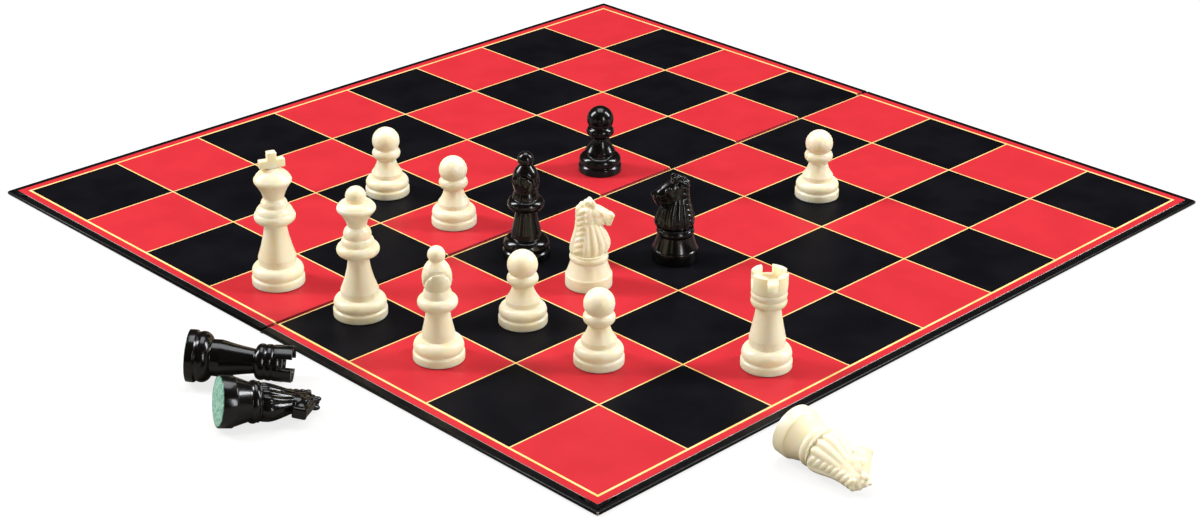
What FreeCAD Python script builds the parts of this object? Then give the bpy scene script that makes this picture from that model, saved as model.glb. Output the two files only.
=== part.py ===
import FreeCAD
import Part
import Sketcher
import math
import os

# A folding chessboard with sixteen of its men, thirteen standing on it and three lying beside it.
# Millimetres, +Z up. The origin is the middle of the board on the table; the fold lies along Y.
# X points across the fold to the near half, and the men's places are counted in squares from the origin.

SQUARES_IN_HALF = 4

BOARD_SIZES = {
    "square": 48.0,
    "red_margin": 4.1,
    "rim_width": 3.9,
    "line_width": 1.0,
    "core_thickness": 1.5,
    "wrap_thickness": 0.25,
    "sheet_thickness": 0.25,
    "turn_in": 12.0,
    "fold_gap": 1.4,
    "fold_round": 1.0,
}

# What the men's mouldings share: the felt let into the base, the groove and the swell over the base's wall,
# the knight's step in their place, and the hollow.
MOULD_SIZES = {
    "felt_thickness": 0.8,
    "felt_proud": 0.25,
    "felt_rim": 0.5,
    "felt_clearance": 0.15,
    "groove_depth": 0.8,
    "groove_rise": 0.8,
    "swell_inset": 0.3,
    "swell_rise": 2.0,
    "step_inset": 0.45,
    "step_rise": 0.5,
    "hollow_wall": 2.2,
    "hollow_tip_radius": 2.2,
    "hollow_depth": 11.0,
}

BASE_SIZES = {
    "king": {"base_radius": 11.5, "wall_rise": 3.4, "shoulder_radius": 8.1, "shoulder_rise": 3.3},
    "queen": {"base_radius": 11.5, "wall_rise": 3.4, "shoulder_radius": 8.1, "shoulder_rise": 2.9},
    "bishop": {"base_radius": 10.65, "wall_rise": 3.4, "shoulder_radius": 6.7, "shoulder_rise": 3.4},
    "rook": {"base_radius": 10.6, "wall_rise": 3.4, "shoulder_radius": 7.4, "shoulder_rise": 3.6},
    "knight": {"base_radius": 10.3, "wall_rise": 5.5, "shoulder_radius": 7.75, "shoulder_rise": 6.1},
    "pawn": {"base_radius": 10.4, "wall_rise": 3.4, "shoulder_radius": 7.2, "shoulder_rise": 2.7},
}

# How each man is turned above its shoulder: the name of a point of its outline, how the outline reaches it,
# its radius, and its height above the point before it. An arc passes through the point marked through.
TURNED = {
    "king": [
        ("foot", "line", 8.3, 3.2),
        ("stem", "through", 6.15, 7.4),
        ("neck", "arc", 4.6, 8.1),
        ("collar_lip", "line", 7.4, 1.0),
        ("collar", "through", 8.95, 1.9),
        ("collar_top", "arc", 8.1, 2.6),
        ("tier", "through", 7.55, 1.5),
        ("tier_top", "arc", 5.8, 1.5),
        ("ring", "through", 5.8, 1.0),
        ("ring_top", "arc", 5.0, 1.7),
        ("throat", "line", 4.4, 1.0),
        ("bowl", "through", 5.6, 3.3),
        ("bowl_lip", "arc", 7.85, 3.7),
        ("brim", "through", 8.2, 1.0),
    ],
    "queen": [
        ("foot", "line", 8.1, 2.8),
        ("stem", "through", 5.6, 7.3),
        ("neck", "arc", 4.25, 7.9),
        ("collar_lip", "line", 7.5, 1.0),
        ("collar", "through", 9.05, 2.1),
        ("collar_top", "arc", 6.9, 2.8),
        ("tier", "through", 6.9, 1.3),
        ("tier_top", "arc", 5.75, 1.8),
        ("ring", "through", 5.9, 1.5),
        ("ring_top", "arc", 5.1, 2.2),
        ("throat", "line", 3.95, 1.2),
        ("bowl", "through", 4.85, 3.0),
        ("bowl_lip", "arc", 7.5, 3.8),
        ("brim", "through", 8.2, 1.3),
        ("brim_top", "arc", 7.7, 1.2),
        ("shoulder_dome", "through", 6.4, 1.4),
    ],
    "bishop": [
        ("foot", "line", 6.75, 2.5),
        ("stem", "through", 5.6, 5.1),
        ("neck", "arc", 4.65, 5.3),
        ("collar_lip", "line", 6.8, 0.8),
        ("collar", "through", 8.25, 2.0),
        ("collar_top", "arc", 6.0, 3.1),
        ("ring", "through", 5.8, 1.6),
        ("ring_top", "arc", 5.1, 1.8),
        ("mitre_side", "through", 6.1, 4.0),
        ("mitre", "arc", 5.75, 3.5),
        ("mitre_brow", "through", 4.6, 2.7),
    ],
    "rook": [
        ("foot", "line", 7.5, 3.6),
        ("stem", "through", 6.15, 6.3),
        ("neck", "arc", 5.0, 7.2),
        ("ring_lip", "line", 6.3, 0.6),
        ("ring", "through", 7.4, 2.0),
        ("ring_top", "arc", 6.95, 1.6),
        ("band", "through", 7.4, 1.5),
        ("band_top", "arc", 7.0, 1.5),
        ("crown_foot", "line", 7.35, 0.4),
        ("crown_rim", "line", 7.6, 7.7),
    ],
    "pawn": [
        ("foot", "line", 7.25, 2.1),
        ("stem", "through", 5.4, 2.9),
        ("neck", "arc", 4.3, 3.5),
        ("collar_lip", "line", 5.3, 0.8),
        ("collar", "through", 6.65, 2.1),
    ],
    "knight": [
        ("ring", "through", 8.5, 1.6),
        ("ring_top", "arc", 7.9, 1.5),
        ("plinth", "line", 8.2, 0.7),
    ],
}

# The ball or dome that tops a man, and the seat where the outline below runs into it.
HEAD_SIZES = {
    "king": {"head_radius": 9.1, "seat_inset": 1.1, "seat_rise": 1.0},
    "queen": {"head_radius": 4.4, "seat_inset": 0.5, "seat_rise": 0.6},
    "bishop": {"head_radius": 3.65, "seat_inset": 0.9, "seat_rise": 2.1},
    "pawn": {"head_radius": 6.45, "seat_inset": 1.2, "seat_rise": 2.7},
}

CROSS_SIZES = {
    "cross_seat": 0.6,
    "cross_thickness": 3.4,
    "post_width": 4.0,
    "arm_span": 11.2,
    "arm_rise": 0.2,
    "arm_height": 3.7,
    "post_rise": 3.4,
}

CROWN_SIZES = {
    "cup_radius": 5.2,
    "cup_depth": 4.6,
    "notch_width": 4.4,
    "notch_depth": 3.8,
}

# Where a lying knight's head rests on the table: how far that spot is from the man's axis and from its base.
REST_SIZES = {
    "side_touch_reach": 3.7,
    "side_touch_level": 39.5,
    "mane_touch_reach": 5.65,
    "mane_touch_level": 37.3,
}

MITRE_SIZES = {
    "slot_width": 0.9,
    "slot_depth": 3.7,
    "slot_drop": 16.4,
    "slot_slope": 63.0,
}

# The horse's side outline, from the chest round over the muzzle and ears to the back: reach from the man's
# axis towards the muzzle, or behind it, and height above the point before it.
HORSE_SIZES = {
    "horse_seat": 0.6,
    "chest_foot_reach": 8.0,
    "chest_reach": 10.3,
    "chest_rise": 3.6,
    "throat_reach": 6.3,
    "throat_rise": 8.6,
    "chin_reach": 8.6,
    "chin_drop": 1.4,
    "lip_reach": 10.8,
    "lip_rise": 2.4,
    "nose_reach": 11.7,
    "nose_rise": 3.4,
    "bridge_reach": 10.4,
    "bridge_rise": 1.5,
    "brow_reach": 3.2,
    "brow_rise": 5.0,
    "ear_reach": 1.2,
    "ear_rise": 2.6,
    "poll_back": 3.6,
    "poll_drop": 0.5,
    "nape_back": 6.0,
    "nape_drop": 3.2,
    "mane_back": 7.0,
    "mane_drop": 12.0,
    "rump_back": 9.0,
    "rump_drop": 7.4,
    "rump_foot_back": 8.0,
}

# Level sections of the horse's rounded form: height above the plinth, half length and half width, and how far
# the section's middle lies towards the muzzle.
HORSE_SECTIONS = [
    ("root", 0.0, 7.9, 7.5, 0.0),
    ("chest", 3.4, 10.4, 7.2, 0.6),
    ("neck", 10.0, 9.2, 5.7, 0.4),
    ("jaw", 15.0, 12.0, 4.9, 1.9),
    ("cheek", 19.0, 11.6, 4.4, 2.4),
    ("brow", 23.0, 9.0, 3.9, 0.6),
    ("ears", 27.2, 6.6, 2.9, -1.2),
]

# Standing men: name, kind, squares from the origin along X and Y, turn about the man's own axis in degrees.
STANDING = [
    ("ivory_king", "king", -0.643, -3.485, 70.0),
    ("ivory_queen", "queen", 0.371, -3.354, 0.0),
    ("ivory_bishop", "bishop", 1.476, -3.400, -35.0),
    ("ivory_knight", "knight", 1.342, -1.491, 65.0),
    ("ivory_rook", "rook", 3.499, -1.507, -38.0),
    ("ivory_pawn_1", "pawn", -1.515, -1.480, 0.0),
    ("ivory_pawn_2", "pawn", -0.514, -1.483, 0.0),
    ("ivory_pawn_3", "pawn", 1.480, -2.433, 0.0),
    ("ivory_pawn_4", "pawn", 2.474, -2.480, 0.0),
    ("ivory_pawn_5", "pawn", 1.478, 1.540, 0.0),
    ("black_pawn", "pawn", -0.466, 0.441, 0.0),
    ("black_bishop", "bishop", 0.500, -1.480, -60.0),
    ("black_knight", "knight", 1.502, -0.525, 240.0),
]

# Men lying on the table: name, kind, what of the head rests on the table, squares from the origin to the
# middle of the base, the way the head points from +X, and the turn about the man's own axis, both in degrees.
LYING = [
    ("black_rook", "rook", "crown", 0.259, -5.099, 43.7, -24.0),
    ("black_knight_lying", "knight", "side", 1.090, -5.396, 65.7, -90.0),
    ("ivory_knight_lying", "knight", "mane", 4.550, -2.411, -4.0, 125.0),
]

HALF_SPAN = f"({SQUARES_IN_HALF} * sizes.square + sizes.red_margin + sizes.rim_width)"
SHEET_SPAN = f"({SQUARES_IN_HALF} * sizes.square + sizes.red_margin)"
FOLD_EDGE = "(sizes.fold_gap / 2)"
RIM_TOP = "(sizes.wrap_thickness + sizes.core_thickness)"
BOARD_TOP = "(sizes.wrap_thickness + sizes.core_thickness + sizes.sheet_thickness)"
CUT_PAST = "1"
NOUGHT = 1e-6

doc = FreeCAD.newDocument("chess_set")
sheet = doc.addObject("Spreadsheet::Sheet", "sizes")
subparts = []


def enter_sizes():
    """Write every driving dimension to its own named cell."""
    rows = dict(BOARD_SIZES)
    rows.update(MOULD_SIZES)
    rows.update(CROSS_SIZES)
    rows.update(CROWN_SIZES)
    rows.update(MITRE_SIZES)
    rows.update(REST_SIZES)
    rows.update(HORSE_SIZES)
    for table in (BASE_SIZES, HEAD_SIZES):
        for kind, sizes in table.items():
            for name, size in sizes.items():
                rows[f"{kind}_{name}"] = size
    for kind, points in TURNED.items():
        for name, form, radius, rise in points:
            rows[f"{kind}_{name}_radius"] = radius
            rows[f"{kind}_{name}_rise"] = rise
    for name, level, half_length, half_width, forward in HORSE_SECTIONS:
        rows[f"horse_{name}_level"] = level
        rows[f"horse_{name}_half_length"] = half_length
        rows[f"horse_{name}_half_width"] = half_width
        rows[f"horse_{name}_forward"] = forward
    for row, (name, size) in enumerate(rows.items(), start=1):
        sheet.set(f"A{row}", name)
        sheet.set(f"B{row}", str(size))
        sheet.setAlias(f"B{row}", name)
    doc.recompute()


def value(expression):
    """The number that an expression of the sheet comes to."""
    return float(sheet.evalExpression(expression))


def total(*names):
    """An expression that adds up named sizes."""
    return " + ".join(f"sizes.{name}" for name in names)


def origin_plane(body, role):
    return next(plane for plane in body.Origin.OriginFeatures if plane.Role == role)


def hold(sketch, geometry, vertex, direction, expression):
    """Hold one coordinate of a sketch's point to an expression, or to the axis where that is nought."""
    size = value(expression)
    if abs(size) < NOUGHT:
        axis = -2 if direction == "DistanceX" else -1
        sketch.addConstraint(Sketcher.Constraint("PointOnObject", geometry, vertex, axis))
    elif size > 0:
        index = sketch.addConstraint(Sketcher.Constraint(direction, -1, 1, geometry, vertex, size))
        sketch.setExpression(f"Constraints[{index}]", expression)
    else:
        index = sketch.addConstraint(Sketcher.Constraint(direction, geometry, vertex, -1, 1, -size))
        sketch.setExpression(f"Constraints[{index}]", f"-({expression})")


def draw_outline(sketch, outline):
    """Draw a closed outline of (across, up, form) points, with an arc through each point marked through."""
    places = [FreeCAD.Vector(value(across), value(up), 0) for across, up, form in outline]
    corners = [number for number, point in enumerate(outline) if point[2] != "through"]
    edges = []
    for order, start in enumerate(corners):
        end = corners[(order + 1) % len(corners)]
        middle = start + 1
        if middle < len(outline) and outline[middle][2] == "through":
            edge = sketch.addGeometry(Part.Arc(places[start], places[middle], places[end]))
            crest = sketch.addGeometry(Part.Point(places[middle]), True)
            sketch.addConstraint(Sketcher.Constraint("PointOnObject", crest, 1, edge))
            hold(sketch, crest, 1, "DistanceX", outline[middle][0])
            hold(sketch, crest, 1, "DistanceY", outline[middle][1])
        else:
            edge = sketch.addGeometry(Part.LineSegment(places[start], places[end]))
        forward = sketch.getPoint(edge, 1).distanceToPoint(places[start]) < NOUGHT
        edges.append((edge, 1, 2) if forward else (edge, 2, 1))
    for order, start in enumerate(corners):
        edge, first, last = edges[order]
        before, before_first, before_last = edges[order - 1]
        sketch.addConstraint(Sketcher.Constraint("Coincident", before, before_last, edge, first))
        hold(sketch, edge, first, "DistanceX", outline[start][0])
        hold(sketch, edge, first, "DistanceY", outline[start][1])


def new_body(name):
    return doc.addObject("PartDesign::Body", name)


def body_sketch(body, name, role, outline):
    sketch = body.newObject("Sketcher::SketchObject", name)
    sketch.AttachmentSupport = (origin_plane(body, role), [""])
    sketch.MapMode = "FlatFace"
    draw_outline(sketch, outline)
    return sketch


def pad_both_ways(body, name, sketch, width):
    """Thicken a sketch by a width, half to each side of its plane."""
    pad = body.newObject("PartDesign::Pad", name)
    pad.Profile = sketch
    pad.SideType = "Symmetric"
    pad.setExpression("Length", width)
    return pad


def corner(across, up):
    return (across, up, "line")


def rectangle(low_across, low_up, high_across, high_up):
    return [
        corner(low_across, low_up),
        corner(high_across, low_up),
        corner(high_across, high_up),
        corner(low_across, high_up),
    ]


def rounded_step(fold_side, up, radius):
    """The rounded edge that each half turns to the fold, from its top face down to its fold side."""
    middle = f"{1 - math.sqrt(0.5)} * {radius}"
    return [
        corner(f"{fold_side} + {radius}", up),
        (f"{fold_side} + {middle}", f"{up} - {middle}", "through"),
        corner(fold_side, f"{up} - {radius}"),
    ]


def keep(feature, label):
    """Name a finished object as a sub-part."""
    feature.Label = label
    subparts.append(feature)


def board_box(name, side, low, high):
    """A box between two corners of one half; the far half is the near one turned about Z."""
    box = doc.addObject("Part::Box", name)
    for size, first, last in zip(("Length", "Width", "Height"), low, high):
        box.setExpression(size, f"({last}) - ({first})")
    turn_half(box, side)
    box.setExpression("Placement.Base.x", f"{side} * ({low[0]})")
    box.setExpression("Placement.Base.y", f"{side} * ({low[1]})")
    box.setExpression("Placement.Base.z", low[2])
    return box


def turn_half(feature, side):
    angle = 0 if side > 0 else 180
    feature.Placement = FreeCAD.Placement(FreeCAD.Vector(), FreeCAD.Rotation(FreeCAD.Vector(0, 0, 1), angle))


def cut(name, base, tool):
    result = doc.addObject("Part::Cut", name)
    result.Base = base
    result.Tool = tool
    return result


def slab(name, side, outer, low, width):
    """A board that runs from the fold to its outer edge, with its top edge rounded down into the fold."""
    body = new_body(name)
    outline = [corner(outer, low), corner(outer, RIM_TOP)]
    outline += rounded_step(FOLD_EDGE, RIM_TOP, "sizes.fold_round")
    outline += [corner(FOLD_EDGE, low)]
    sketch = body_sketch(body, f"{name}_section", "XZ_Plane", outline)
    pad_both_ways(body, f"{name}_pad", sketch, width)
    turn_half(body, side)
    return body


def make_board_half(half, side):
    """Greyboard core, black wrap turned over its edges, red sheet and the black squares let into it."""
    core_edge = f"({HALF_SPAN} - sizes.wrap_thickness)"
    turned_to = f"({core_edge} - sizes.turn_in)"
    rebate = f"({RIM_TOP} - sizes.wrap_thickness)"
    blank = slab(f"{half}_core_blank", side, core_edge, "sizes.wrap_thickness", f"2 * {core_edge}")
    over_rim = f"{RIM_TOP} + {CUT_PAST}"
    outer = board_box(f"{half}_turn_in_outer", side, ("0", f"-{HALF_SPAN}", rebate),
                      (HALF_SPAN, HALF_SPAN, over_rim))
    inner = board_box(f"{half}_turn_in_inner", side, (f"-{CUT_PAST}", f"-{turned_to}", f"{rebate} - {CUT_PAST}"),
                      (turned_to, turned_to, f"{over_rim} + {CUT_PAST}"))
    core = cut(f"{half}_core", blank, cut(f"{half}_turn_in", outer, inner))
    keep(core, f"{half}_core")

    envelope = slab(f"{half}_envelope", side, HALF_SPAN, "0", f"2 * {HALF_SPAN}")
    keep(cut(f"{half}_wrap", envelope, core), f"{half}_wrap")

    lip = f"({FOLD_EDGE} - sizes.sheet_thickness)"
    outside = rounded_step(lip, BOARD_TOP, "(sizes.fold_round + sizes.sheet_thickness)")
    inside = rounded_step(FOLD_EDGE, RIM_TOP, "sizes.fold_round")
    outline = [corner(SHEET_SPAN, RIM_TOP), corner(SHEET_SPAN, BOARD_TOP)] + outside
    outline += [corner(lip, "sizes.wrap_thickness"), corner(FOLD_EDGE, "sizes.wrap_thickness")]
    outline += list(reversed(inside))
    paper = new_body(f"{half}_paper")
    sketch = body_sketch(paper, f"{half}_paper_section", "XZ_Plane", outline)
    pad_both_ways(paper, f"{half}_paper_pad", sketch, f"2 * {SHEET_SPAN}")
    turn_half(paper, side)

    squares = doc.addObject("Part::Compound", f"{half}_black_squares")
    squares.Links = [black_square(half, side, rank, file) for rank, file in black_places()]
    keep(cut(f"{half}_sheet", paper, squares), f"{half}_sheet")
    keep(squares, f"{half}_black_squares")


def black_places():
    """Rank from the fold and file from the middle of each black square of one half."""
    for rank in range(SQUARES_IN_HALF):
        for file in range(-SQUARES_IN_HALF, SQUARES_IN_HALF):
            if (rank + file) % 2 == 0:
                yield rank, file


def black_square(half, side, rank, file):
    inset = "sizes.line_width / 2"
    start = f"{FOLD_EDGE} + sizes.fold_round" if rank == 0 else f"{rank} * sizes.square"
    low = (f"{start} + {inset}", f"{file} * sizes.square + {inset}", RIM_TOP)
    high = (f"{rank + 1} * sizes.square - {inset}", f"{file + 1} * sizes.square - {inset}", BOARD_TOP)
    name = f"{half}_black_{rank}_{file + SQUARES_IN_HALF}"
    return board_box(name, side, low, high)


def make_fold_hinge():
    """The strip of black wrap that joins the halves under the fold."""
    low = (f"-{FOLD_EDGE}", f"-{HALF_SPAN}", "0")
    keep(board_box("fold_hinge", 1, low, (FOLD_EDGE, HALF_SPAN, "sizes.wrap_thickness")), "fold_hinge")


def base_outline(kind):
    """A man's base up to its shoulder, and the height of that shoulder as a list of rises."""
    base = f"sizes.{kind}_base_radius"
    shoulder = f"sizes.{kind}_shoulder_radius"
    pocket = f"{base} - sizes.felt_rim"
    hollow_top = total("felt_thickness", "hollow_depth")
    rises = [f"{kind}_wall_rise"]
    outline = [
        corner("0", hollow_top),
        corner("sizes.hollow_tip_radius", hollow_top),
        corner(f"{shoulder} - sizes.hollow_wall", "sizes.felt_thickness"),
        corner(pocket, "sizes.felt_thickness"),
        corner(pocket, "sizes.felt_proud"),
        corner(base, "sizes.felt_proud"),
        corner(base, total(*rises)),
    ]
    if kind == "knight":
        rises.append("step_rise")
        outline.append(corner(f"{base} - sizes.step_inset", total(*rises)))
    else:
        rises.append("groove_rise")
        outline.append(corner(f"{base} - sizes.groove_depth", total(*rises)))
        rises.append("swell_rise")
        outline.append((f"{base} - sizes.swell_inset", total(*rises), "through"))
    rises.append(f"{kind}_shoulder_rise")
    outline.append(corner(shoulder, total(*rises)))
    return outline, rises


def turned_top(kind):
    """The height of the last point that a man's turned outline lists, as an expression."""
    rises = base_outline(kind)[1] + [f"{kind}_{name}_rise" for name, form, radius, rise in TURNED[kind]]
    return total(*rises)


def head_outline(kind):
    """The seat, the round and the top of a man's ball; the king's dome is the cap of a larger ball."""
    seat_up = f"{turned_top(kind)} + sizes.{kind}_seat_rise"
    radius = f"sizes.{kind}_head_radius"
    seat = f"({radius} - sizes.{kind}_seat_inset)"
    towards_middle = "-" if kind == "king" else "+"
    middle = f"{seat_up} {towards_middle} sqrt({radius} ^ 2 - {seat} ^ 2)"
    beside_top = f"{seat} / 2"
    return [
        (seat, seat_up, "arc"),
        (beside_top, f"{middle} + sqrt({radius} ^ 2 - ({beside_top}) ^ 2)", "through"),
        ("0", f"{middle} + {radius}", "arc"),
    ]


def top_of(kind):
    """A man's height, as an expression."""
    return head_outline(kind)[-1][1] if kind in HEAD_SIZES else turned_top(kind)


def turned_body(name, kind):
    """A man turned about its axis, hollow from below, with a pocket for its felt."""
    outline, rises = base_outline(kind)
    for point, form, radius, rise in TURNED[kind]:
        rises = rises + [f"{kind}_{point}_rise"]
        outline.append((f"sizes.{kind}_{point}_radius", total(*rises), form))
    top = top_of(kind)
    if kind in HEAD_SIZES:
        outline += head_outline(kind)
    elif kind == "rook":
        floor = f"{top} - sizes.cup_depth"
        outline += [corner("sizes.cup_radius", top), corner("sizes.cup_radius", floor), corner("0", floor)]
    else:
        outline.append(corner("0", top))
    body = new_body(name)
    sketch = body_sketch(body, f"{name}_profile", "XZ_Plane", outline)
    turned = body.newObject("PartDesign::Revolution", f"{name}_turned")
    turned.Profile = sketch
    turned.ReferenceAxis = (sketch, ["V_Axis"])
    turned.Angle = 360
    return body


def add_cross(body):
    """The king's cross, standing on its dome with the arms along the man's own X."""
    top = top_of("king")
    foot = f"{top} - sizes.cross_seat"
    low = f"{top} + sizes.arm_rise"
    high = f"{low} + sizes.arm_height"
    tip = f"{high} + sizes.post_rise"
    post = "sizes.post_width / 2"
    arm = "sizes.arm_span / 2"
    right = [(post, foot), (post, low), (arm, low), (arm, high), (post, high), (post, tip)]
    outline = [corner(across, up) for across, up in right]
    outline += [corner(f"-{across}", up) for across, up in reversed(right)]
    sketch = body_sketch(body, f"{body.Name}_cross_outline", "XZ_Plane", outline)
    pad_both_ways(body, f"{body.Name}_cross", sketch, "sizes.cross_thickness")


def add_notches(body):
    """Four notches through the rook's crown."""
    sketch = body.newObject("Sketcher::SketchObject", f"{body.Name}_notch_outline")
    sketch.AttachmentSupport = (origin_plane(body, "XY_Plane"), [""])
    sketch.MapMode = "FlatFace"
    sketch.setExpression("AttachmentOffset.Base.z", top_of("rook"))
    half = "sizes.notch_width / 2"
    draw_outline(sketch, rectangle("0", f"-{half}", "sizes.rook_base_radius", half))
    notch = body.newObject("PartDesign::Pocket", f"{body.Name}_notch")
    notch.Profile = sketch
    notch.setExpression("Length", "sizes.notch_depth")
    doc.recompute()
    notches = body.newObject("PartDesign::PolarPattern", f"{body.Name}_notches")
    notches.Originals = [notch]
    notches.Axis = (sketch, ["N_Axis"])
    notches.Angle = 360
    notches.Occurrences = 4
    body.Tip = notches


def add_mitre_slot(body):
    """The slanting slot cut down into the bishop's mitre from the man's own X side."""
    slope = "sizes.slot_slope"
    root = f"({top_of('bishop')} - sizes.slot_drop)"
    reach = "sizes.bishop_collar_radius"
    depth = "(sizes.bishop_mitre_radius - sizes.slot_depth)"
    run = f"({reach} - {depth})"
    rise = f"{run} * tan({slope} * 1 deg)"
    outline = [
        corner(depth, root),
        corner(reach, f"{root} + {rise}"),
        corner(reach, f"{root} + {rise} + sizes.slot_width / cos({slope} * 1 deg)"),
        corner(depth, f"{root} + sizes.slot_width / cos({slope} * 1 deg)"),
    ]
    sketch = body_sketch(body, f"{body.Name}_slot_outline", "XZ_Plane", outline)
    slot = body.newObject("PartDesign::Pocket", f"{body.Name}_slot")
    slot.Profile = sketch
    slot.SideType = "Symmetric"
    slot.setExpression("Length", "2 * sizes.bishop_base_radius")


def horse_outline(plinth):
    """The horse in side view, standing on its plinth."""
    names = ["chest", "throat", "lip", "nose", "bridge", "brow", "ear"]
    up = plinth
    heights = {}
    for name in names:
        up = f"{up} + sizes.{name}_rise"
        if name == "throat":
            heights["throat"] = up
            up = f"{up} - sizes.chin_drop"
            heights["chin"] = up
        else:
            heights[name] = up
    down = heights["ear"]
    for name in ("poll", "nape", "mane", "rump"):
        down = f"{down} - sizes.{name}_drop"
        heights[name] = down
    outline = [corner("sizes.chest_foot_reach", plinth), ("sizes.chest_reach", heights["chest"], "through")]
    for name in ("throat", "chin", "lip", "nose", "bridge", "brow", "ear"):
        outline.append(corner(f"sizes.{name}_reach", heights[name]))
    for name in ("poll", "nape", "mane", "rump"):
        outline.append(corner(f"-sizes.{name}_back", heights[name]))
    outline.append(corner("-sizes.rump_foot_back", plinth))
    return outline


def make_knight(name):
    """A turned base with a horse's head and neck on it, rounded in plan and cut to its side outline."""
    base = turned_body(f"{name}_base", "knight")
    plinth = f"({top_of('knight')} - sizes.horse_seat)"
    sections = []
    for section, level, half_length, half_width, forward in HORSE_SECTIONS:
        ring = doc.addObject("Part::Ellipse", f"{name}_{section}_section")
        ring.setExpression("MajorRadius", f"sizes.horse_{section}_half_length")
        ring.setExpression("MinorRadius", f"sizes.horse_{section}_half_width")
        ring.setExpression("Placement.Base.x", f"sizes.horse_{section}_forward")
        ring.setExpression("Placement.Base.z", f"{plinth} + sizes.horse_{section}_level")
        sections.append(ring)
    rounded = doc.addObject("Part::Loft", f"{name}_rounded")
    rounded.Sections = sections
    rounded.Solid = True
    side = new_body(f"{name}_side")
    sketch = body_sketch(side, f"{name}_side_outline", "XZ_Plane", horse_outline(plinth))
    pad_both_ways(side, f"{name}_side_pad", sketch, "2 * sizes.knight_base_radius")
    horse = doc.addObject("Part::MultiCommon", f"{name}_horse")
    horse.Shapes = [rounded, side]
    knight = doc.addObject("Part::MultiFuse", name)
    knight.Shapes = [base, horse]
    return knight


def make_man(name, kind):
    """One man's moulding, standing on the origin."""
    if kind == "knight":
        man = make_knight(name)
    else:
        man = turned_body(name, kind)
    if kind == "king":
        add_cross(man)
    if kind == "rook":
        add_notches(man)
    if kind == "bishop":
        add_mitre_slot(man)
    keep(man, name)
    return man


def make_felt(name, kind):
    felt = doc.addObject("Part::Cylinder", f"{name}_felt")
    felt.setExpression("Radius", f"sizes.{kind}_base_radius - sizes.felt_rim - sizes.felt_clearance")
    felt.setExpression("Height", "sizes.felt_thickness")
    keep(felt, f"{name}_felt")
    return felt


def stand_on_board(feature, across, along, turn):
    feature.Placement = FreeCAD.Placement(FreeCAD.Vector(), FreeCAD.Rotation(FreeCAD.Vector(0, 0, 1), turn))
    feature.setExpression("Placement.Base.x", f"{across} * sizes.square")
    feature.setExpression("Placement.Base.y", f"{along} * sizes.square")
    feature.setExpression("Placement.Base.z", BOARD_TOP)


def lean(kind, touch):
    """How far a lying man's axis dips towards its head, in degrees, between its base and where its head rests."""
    if touch == "crown":
        reach = value("sizes.rook_crown_rim_radius")
        level = value(top_of("rook"))
    else:
        reach = value(f"sizes.{touch}_touch_reach")
        level = value(f"sizes.{touch}_touch_level")
    drop = value(f"sizes.{kind}_base_radius") - reach
    length = level - value(f"sizes.{kind}_wall_rise")
    return math.degrees(math.atan(drop / length))


def lay_on_table(man, felt, dipping, across, along, heading, roll):
    """Lay a man on its side, with its head dipping until it touches, and set its lowest point on the table."""
    spin = FreeCAD.Rotation(FreeCAD.Vector(0, 0, 1), roll)
    dip = FreeCAD.Rotation(FreeCAD.Vector(0, 1, 0), 90 + dipping)
    head_way = FreeCAD.Rotation(FreeCAD.Vector(0, 0, 1), heading)
    turn = head_way.multiply(dip).multiply(spin)
    place = FreeCAD.Vector(across * value("sizes.square"), along * value("sizes.square"), 0)
    man.Placement = FreeCAD.Placement(place, turn)
    doc.recompute()
    lowest = man.Shape.optimalBoundingBox(True, False).ZMin
    place.z = -lowest
    man.Placement = FreeCAD.Placement(place, turn)
    felt.Placement = FreeCAD.Placement(place, turn)


def check_model():
    """Stop before anything is written if an object failed or a sub-part isn't one sound shape."""
    failed = [feature for feature in doc.Objects if {"Invalid", "Error"} & set(feature.State)]
    if failed:
        raise RuntimeError([f"{feature.Name}: {feature.getStatusString()}" for feature in failed])
    for feature in subparts:
        if feature.Shape.isNull() or not feature.Shape.isValid():
            raise RuntimeError(f"{feature.Label} has no sound shape")


enter_sizes()
make_board_half("near", 1)
make_board_half("far", -1)
make_fold_hinge()
for name, kind, across, along, turn in STANDING:
    stand_on_board(make_man(name, kind), across, along, turn)
    stand_on_board(make_felt(name, kind), across, along, turn)
doc.recompute()
check_model()
for name, kind, touch, across, along, heading, roll in LYING:
    lay_on_table(make_man(name, kind), make_felt(name, kind), lean(kind, touch), across, along, heading, roll)
doc.recompute()
check_model()

os.makedirs("parts", exist_ok=True)
for feature in subparts:
    feature.Shape.exportStep(f"parts/{feature.Label}.step")
    print(f"{feature.Label}: {len(feature.Shape.Solids)} solid, {feature.Shape.Volume:.1f} mm3")
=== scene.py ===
# %% [markdown]
# # A folding chess set
# The set is a thin board in two hinged halves, and sixteen moulded men with felt under their bases. The packed
# CAD model says where every piece sits and which body carries it, so it is loaded first. Lengths below are in
# millimetres, as a maker would write them, and each finished mesh is scaled to metres when it is put in its
# place.

# %% Load the frame
import cmath
import math

import bmesh
import bpy
from mathutils import Matrix, Vector


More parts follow.
